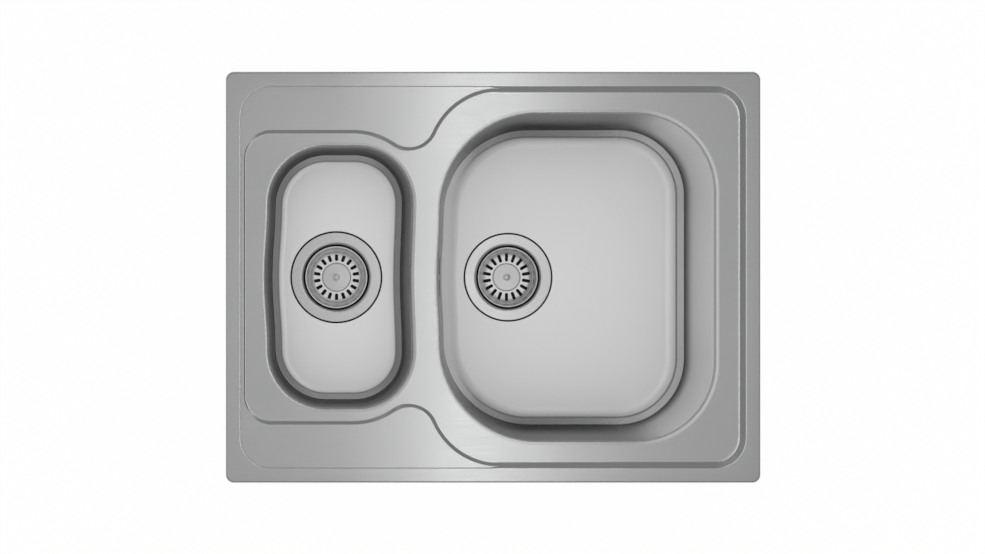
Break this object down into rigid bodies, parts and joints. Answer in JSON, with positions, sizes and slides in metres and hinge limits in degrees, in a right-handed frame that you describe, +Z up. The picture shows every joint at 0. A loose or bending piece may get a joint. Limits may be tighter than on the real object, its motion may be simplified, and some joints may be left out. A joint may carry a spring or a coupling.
{
  "type": "kitchen sink",
  "caption": "Inset steel kitchen sink: a deep main bowl with an overflow, a shallow half bowl, two raised ledges, strainer basket wastes and worktop clamps.",
  "frame": {"origin": "centre of the worktop cut-out, level with the worktop's top face", "axes": "+X to the right along the sink's length, towards the main bowl; +Y to the back; +Z up out of the worktop"},
  "size_m": [0.65, 0.5, 0.2555],
  "materials": {
    "sink_steel": "satin",
    "waste_steel": "polished",
    "zinc": "zinc plated",
    "rubber": "matt",
    "pad_rubber": "matt",
    "white_plastic": "moulded",
    "grey_plastic": "moulded"
  },
  "bodies": {
    "sink": {"deck": "sink_steel", "main_bowl": "sink_steel", "half_bowl": "sink_steel", "rim_seal": "rubber", "rail_right": "zinc", "rail_back": "zinc", "rail_left": "zinc", "rail_front": "zinc", "main_pad": "pad_rubber", "half_pads": "pad_rubber", "main_flange": "waste_steel", "main_flange_seal": "rubber", "main_body_gasket": "rubber", "main_waste_body": "white_plastic", "main_centre_screw": "zinc", "half_flange": "waste_steel", "half_flange_seal": "rubber", "half_body_gasket": "rubber", "half_waste_body": "white_plastic", "half_centre_screw": "zinc", "overflow_rosette": "waste_steel", "overflow_screw": "waste_steel", "overflow_gasket": "rubber", "overflow_housing": "white_plastic", "overflow_hose": "grey_plastic", "hose_clip_upper": "zinc", "hose_clip_lower": "zinc", "inlet_cap": "grey_plastic"},
    "main_basket_body": {"main_basket": "waste_steel", "main_basket_disc": "waste_steel", "main_basket_plug": "rubber", "main_basket_stem": "grey_plastic"},
    "half_basket_body": {"half_basket": "waste_steel", "half_basket_disc": "waste_steel", "half_basket_plug": "rubber", "half_basket_stem": "grey_plastic"},
    "bolt_body_1": {"clamp_bolt_1": "zinc"},
    "claw_body_1": {"clamp_claw_1": "zinc"},
    "bolt_body_2": {"clamp_bolt_2": "zinc"},
    "claw_body_2": {"clamp_claw_2": "zinc"},
    "bolt_body_3": {"clamp_bolt_3": "zinc"},
    "claw_body_3": {"clamp_claw_3": "zinc"},
    "bolt_body_4": {"clamp_bolt_4": "zinc"},
    "claw_body_4": {"clamp_claw_4": "zinc"},
    "bolt_body_5": {"clamp_bolt_5": "zinc"},
    "claw_body_5": {"clamp_claw_5": "zinc"},
    "bolt_body_6": {"clamp_bolt_6": "zinc"},
    "claw_body_6": {"clamp_claw_6": "zinc"},
    "bolt_body_7": {"clamp_bolt_7": "zinc"},
    "claw_body_7": {"clamp_claw_7": "zinc"},
    "bolt_body_8": {"clamp_bolt_8": "zinc"},
    "claw_body_8": {"clamp_claw_8": "zinc"}
  },
  "joints": [
    {"name": "main_basket_lift", "type": "slide", "parent": "sink", "child": "main_basket_body", "axis": [0, 0, 1], "range_m": [-0.0045, 0.2]},
    {"name": "half_basket_lift", "type": "slide", "parent": "sink", "child": "half_basket_body", "axis": [0, 0, 1], "range_m": [-0.0045, 0.12]},
    {"name": "clamp_1_swivel", "type": "hinge", "parent": "sink", "child": "bolt_body_1", "pos_m": [0.3055, -0.1, -0.0128], "axis": [0, 0, 1], "range_deg": [0, 90]},
    {"name": "clamp_1_draw", "type": "slide", "parent": "bolt_body_1", "child": "claw_body_1", "axis": [0, 0, 1], "range_m": [-0.008, 0.012]},
    {"name": "clamp_2_swivel", "type": "hinge", "parent": "sink", "child": "bolt_body_2", "pos_m": [0.3055, 0.1, -0.0128], "axis": [0, 0, 1], "range_deg": [0, 90]},
    {"name": "clamp_2_draw", "type": "slide", "parent": "bolt_body_2", "child": "claw_body_2", "axis": [0, 0, 1], "range_m": [-0.008, 0.012]},
    {"name": "clamp_3_swivel", "type": "hinge", "parent": "sink", "child": "bolt_body_3", "pos_m": [0.15, 0.2305, -0.0128], "axis": [0, 0, 1], "range_deg": [0, 90]},
    {"name": "clamp_3_draw", "type": "slide", "parent": "bolt_body_3", "child": "claw_body_3", "axis": [0, 0, 1], "range_m": [-0.008, 0.012]},
    {"name": "clamp_4_swivel", "type": "hinge", "parent": "sink", "child": "bolt_body_4", "pos_m": [-0.15, 0.2305, -0.0128], "axis": [0, 0, 1], "range_deg": [0, 90]},
    {"name": "clamp_4_draw", "type": "slide", "parent": "bolt_body_4", "child": "claw_body_4", "axis": [0, 0, 1], "range_m": [-0.008, 0.012]},
    {"name": "clamp_5_swivel", "type": "hinge", "parent": "sink", "child": "bolt_body_5", "pos_m": [-0.3055, 0.1, -0.0128], "axis": [0, 0, 1], "range_deg": [0, 90]},
    {"name": "clamp_5_draw", "type": "slide", "parent": "bolt_body_5", "child": "claw_body_5", "axis": [0, 0, 1], "range_m": [-0.008, 0.012]},
    {"name": "clamp_6_swivel", "type": "hinge", "parent": "sink", "child": "bolt_body_6", "pos_m": [-0.3055, -0.1, -0.0128], "axis": [0, 0, 1], "range_deg": [0, 90]},
    {"name": "clamp_6_draw", "type": "slide", "parent": "bolt_body_6", "child": "claw_body_6", "axis": [0, 0, 1], "range_m": [-0.008, 0.012]},
    {"name": "clamp_7_swivel", "type": "hinge", "parent": "sink", "child": "bolt_body_7", "pos_m": [-0.15, -0.2305, -0.0128], "axis": [0, 0, 1], "range_deg": [0, 90]},
    {"name": "clamp_7_draw", "type": "slide", "parent": "bolt_body_7", "child": "claw_body_7", "axis": [0, 0, 1], "range_m": [-0.008, 0.012]},
    {"name": "clamp_8_swivel", "type": "hinge", "parent": "sink", "child": "bolt_body_8", "pos_m": [0.15, -0.2305, -0.0128], "axis": [0, 0, 1], "range_deg": [0, 90]},
    {"name": "clamp_8_draw", "type": "slide", "parent": "bolt_body_8", "child": "claw_body_8", "axis": [0, 0, 1], "range_m": [-0.008, 0.012]}
  ]
}
